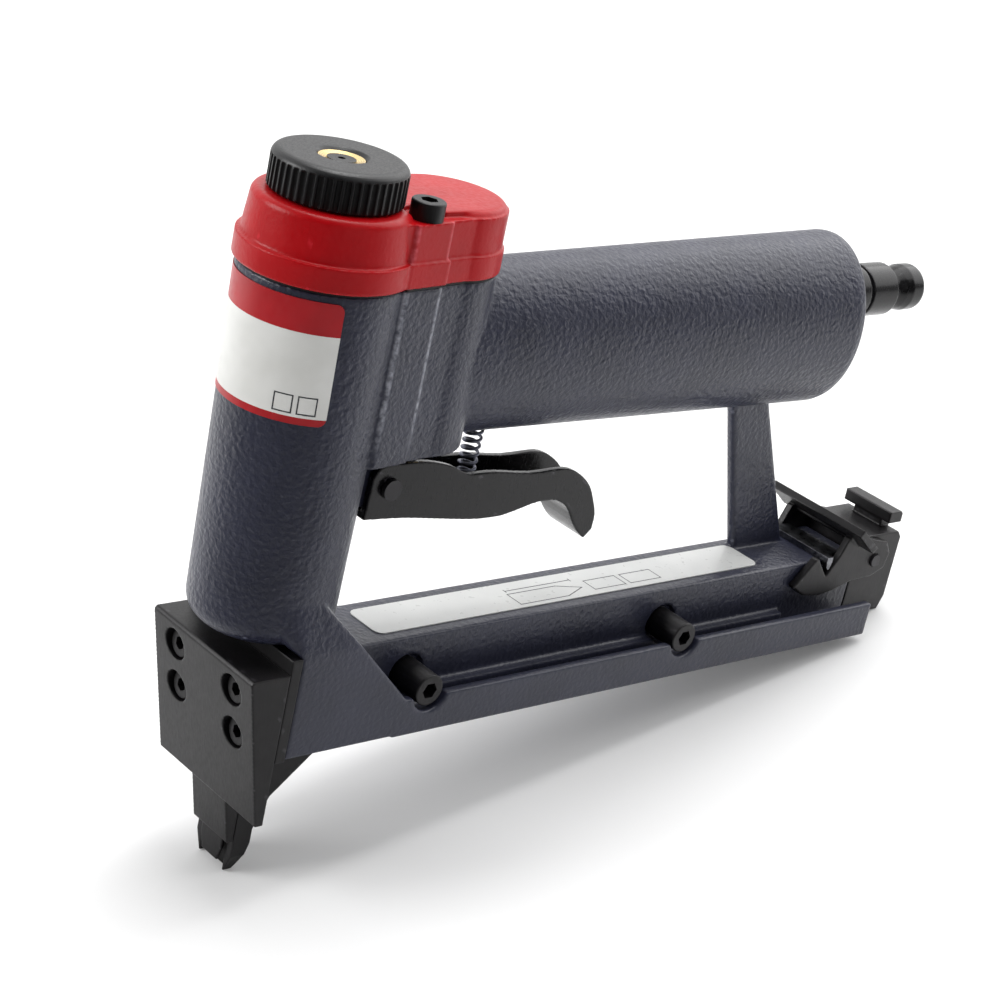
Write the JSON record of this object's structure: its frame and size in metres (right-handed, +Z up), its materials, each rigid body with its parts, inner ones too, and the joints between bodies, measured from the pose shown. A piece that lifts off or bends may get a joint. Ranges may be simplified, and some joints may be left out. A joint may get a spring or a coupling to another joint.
{
  "type": "pneumatic upholstery stapler",
  "caption": "Compact air-powered fastener gun: cast barrel, handle and magazine arm, slanted nose plate, drawer magazine with latch, lever trigger and air plug.",
  "frame": {"origin": "under the middle of the bounding box, at the height of the nose tip", "axes": "+X rearward along the magazine, +Y to the far side, +Z up along the cylinder"},
  "size_m": [0.2055, 0.034, 0.15],
  "materials": {
    "hammered_paint": "slate grey hammered paint on die-cast aluminium",
    "red_paint": "red textured paint on die-cast aluminium",
    "black_oxide": "black oxide",
    "bright_steel": "bright steel",
    "brass": "turned brass",
    "black_plastic": "moulded black plastic",
    "rubber": "black rubber"
  },
  "bodies": {
    "base": {"body_casting": "hammered_paint", "cylinder_cap": "red_paint", "cap_gasket": "rubber", "cap_screw_left": "black_oxide", "cap_screw_right": "black_oxide", "cylinder_sleeve": "bright_steel", "sleeve_ring_upper": "rubber", "sleeve_ring_lower": "rubber", "bumper": "rubber", "head_valve_spring": "bright_steel", "nose_plate": "black_oxide", "guide_plate": "black_oxide", "driver_guide": "black_oxide", "guide_dowel_left": "bright_steel", "guide_dowel_right": "bright_steel", "nose_screw_1": "black_oxide", "nose_screw_2": "black_oxide", "nose_screw_3": "black_oxide", "nose_screw_4": "black_oxide", "track_left": "bright_steel", "track_right": "bright_steel", "track_screw_1": "black_oxide", "track_screw_2": "black_oxide", "track_screw_3": "black_oxide", "track_screw_4": "black_oxide", "latch_catch": "bright_steel", "trigger_pin": "black_oxide", "trigger_spring": "bright_steel", "valve_bush": "brass", "valve_ring_upper": "rubber", "valve_ring_lower": "rubber", "valve_spring": "bright_steel", "air_plug": "black_oxide"},
    "piston": {"piston": "bright_steel", "piston_ring": "rubber", "driver_blade": "bright_steel"},
    "head_valve": {"head_valve": "bright_steel", "head_valve_seal": "rubber"},
    "carriage": {"adjuster_ring": "rubber"},
    "knob": {"power_knob": "black_plastic", "knob_core": "brass"},
    "drawer": {"magazine_drawer": "bright_steel", "drawer_end": "black_oxide", "pusher_rod": "bright_steel", "latch_pin": "bright_steel", "pusher_spring": "bright_steel"},
    "pusher": {"pusher": "bright_steel"},
    "latch": {"latch_lever": "black_oxide"},
    "trigger": {"trigger": "black_oxide"},
    "valve": {"valve_stem": "bright_steel"}
  },
  "joints": [
    {"name": "driver_stroke", "type": "slide", "parent": "base", "child": "piston", "axis": [0, 0, -1], "range_m": [0, 0.048]},
    {"name": "head_valve_lift", "type": "slide", "parent": "base", "child": "head_valve", "axis": [0, 0, 1], "range_m": [0, 0.002], "stiffness_N_per_m": 800, "springref_m": -0.002, "deforming": ["head_valve_spring"]},
    {"name": "adjuster_rise", "type": "slide", "parent": "base", "child": "carriage", "axis": [0, 0, 1], "range_m": [0, 0.0015]},
    {"name": "knob_turn", "type": "hinge", "parent": "carriage", "child": "knob", "pos_m": [-0.08575, 0, 0.1423], "axis": [0, 0, 1], "range_deg": [0, 360]},
    {"name": "drawer_slide", "type": "slide", "parent": "base", "child": "drawer", "axis": [1, 0, 0], "range_m": [0, 0.1]},
    {"name": "pusher_slide", "type": "slide", "parent": "drawer", "child": "pusher", "axis": [1, 0, 0], "range_m": [0, 0.09], "stiffness_N_per_m": 25, "springref_m": -0.06, "deforming": ["pusher_spring"]},
    {"name": "latch_press", "type": "hinge", "parent": "drawer", "child": "latch", "pos_m": [0.09175, 0, 0.0486], "axis": [0, -1, 0], "range_deg": [0, 12], "stiffness_Nm_per_rad": 0.2, "springref_deg": -14.32},
    {"name": "trigger_pull", "type": "hinge", "parent": "base", "child": "trigger", "pos_m": [-0.06315, 0, 0.0831], "axis": [0, -1, 0], "range_deg": [0, 9], "stiffness_Nm_per_rad": 0.4, "springref_deg": -11.46, "deforming": ["trigger_spring"]},
    {"name": "valve_lift", "type": "slide", "parent": "base", "child": "valve", "axis": [0, 0, 1], "range_m": [0, 0.00132], "deforming": ["valve_spring"]}
  ],
  "couplings": [
    {"joint": "knob_turn", "follows": "adjuster_rise", "rad_per_m": 4188.8},
    {"joint": "trigger_pull", "follows": "valve_lift", "rad_per_m": 119}
  ]
}
